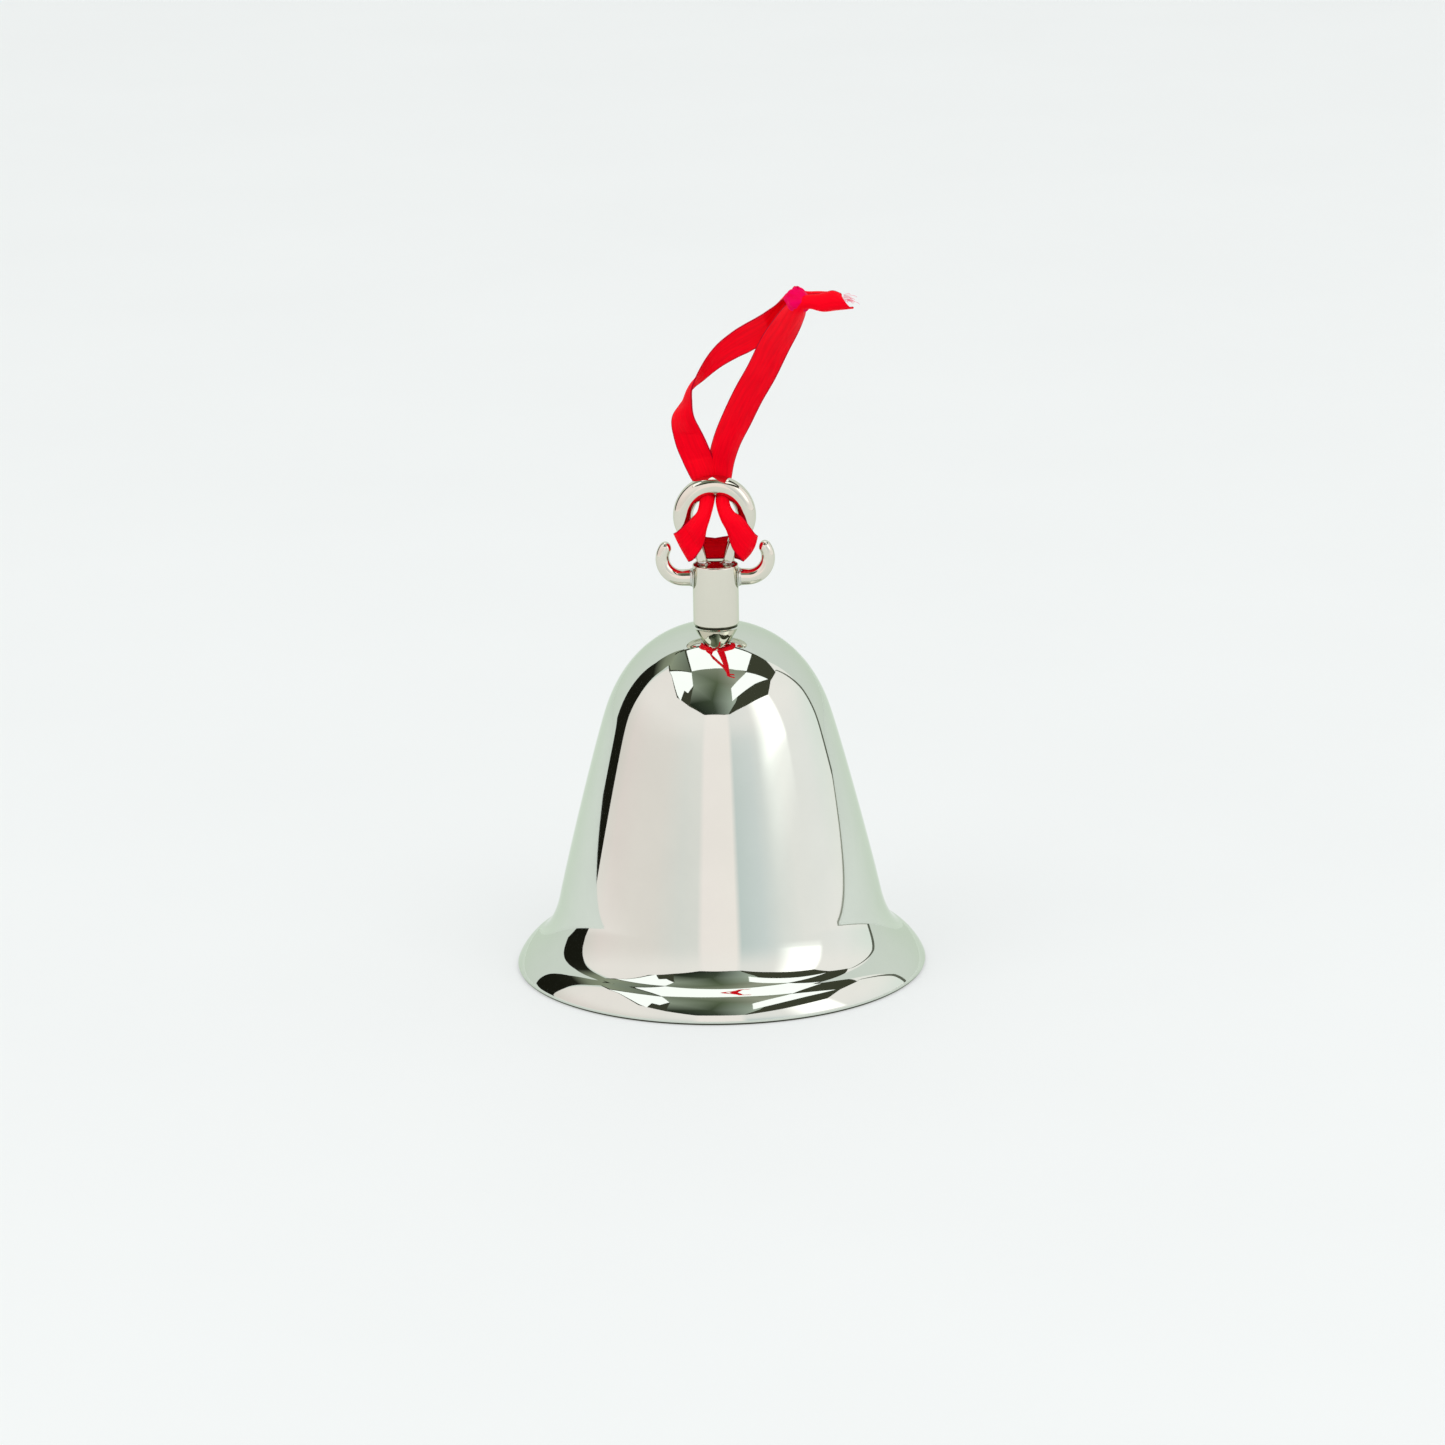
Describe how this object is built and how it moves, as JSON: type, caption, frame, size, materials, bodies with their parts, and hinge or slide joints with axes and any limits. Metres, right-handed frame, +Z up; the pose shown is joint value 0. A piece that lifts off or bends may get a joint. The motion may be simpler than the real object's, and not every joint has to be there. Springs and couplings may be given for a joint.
{
  "type": "christmas bell ornament",
  "caption": "Polished metal bell ornament with a flared rim, turned post, wire crown ring, side hooks, hanging clapper and a red satin ribbon loop.",
  "frame": {"origin": "centre of the rim's flat lower face, on the bell's axis", "axes": "+Z up along the bell's axis, -Y the front, +X the side the ribbon's tails point to"},
  "size_m": [0.064, 0.064, 0.1139],
  "materials": {
    "polished_metal": "mirror-polished silver plate",
    "plain_metal": "bright nickel plate, lightly satined",
    "ribbon": "single-face satin weave with a woven edge"
  },
  "bodies": {
    "root": {"bell_shell": "polished_metal", "post": "polished_metal", "crown_ring": "polished_metal", "hook_left": "polished_metal", "hook_right": "polished_metal", "eye_bolt": "plain_metal", "crown_washer": "plain_metal", "lock_nut": "plain_metal", "ribbon_hitch": "ribbon", "ribbon_left_strand": "ribbon", "ribbon_right_strand": "ribbon", "ribbon_knot": "ribbon", "ribbon_front_tail": "ribbon", "ribbon_back_tail": "ribbon"},
    "link": {"clapper_link": "plain_metal"},
    "clapper": {"clapper_rod": "plain_metal", "clapper_ball": "polished_metal"}
  },
  "joints": [
    {"name": "link_swing", "type": "hinge", "parent": "root", "child": "link", "pos_m": [0, 0, 0.04555], "axis": [0, 1, 0], "range_deg": [-24, 24]},
    {"name": "clapper_swing", "type": "hinge", "parent": "link", "child": "clapper", "pos_m": [0, 0, 0.04035], "axis": [1, 0, 0], "range_deg": [-24, 24]}
  ]
}
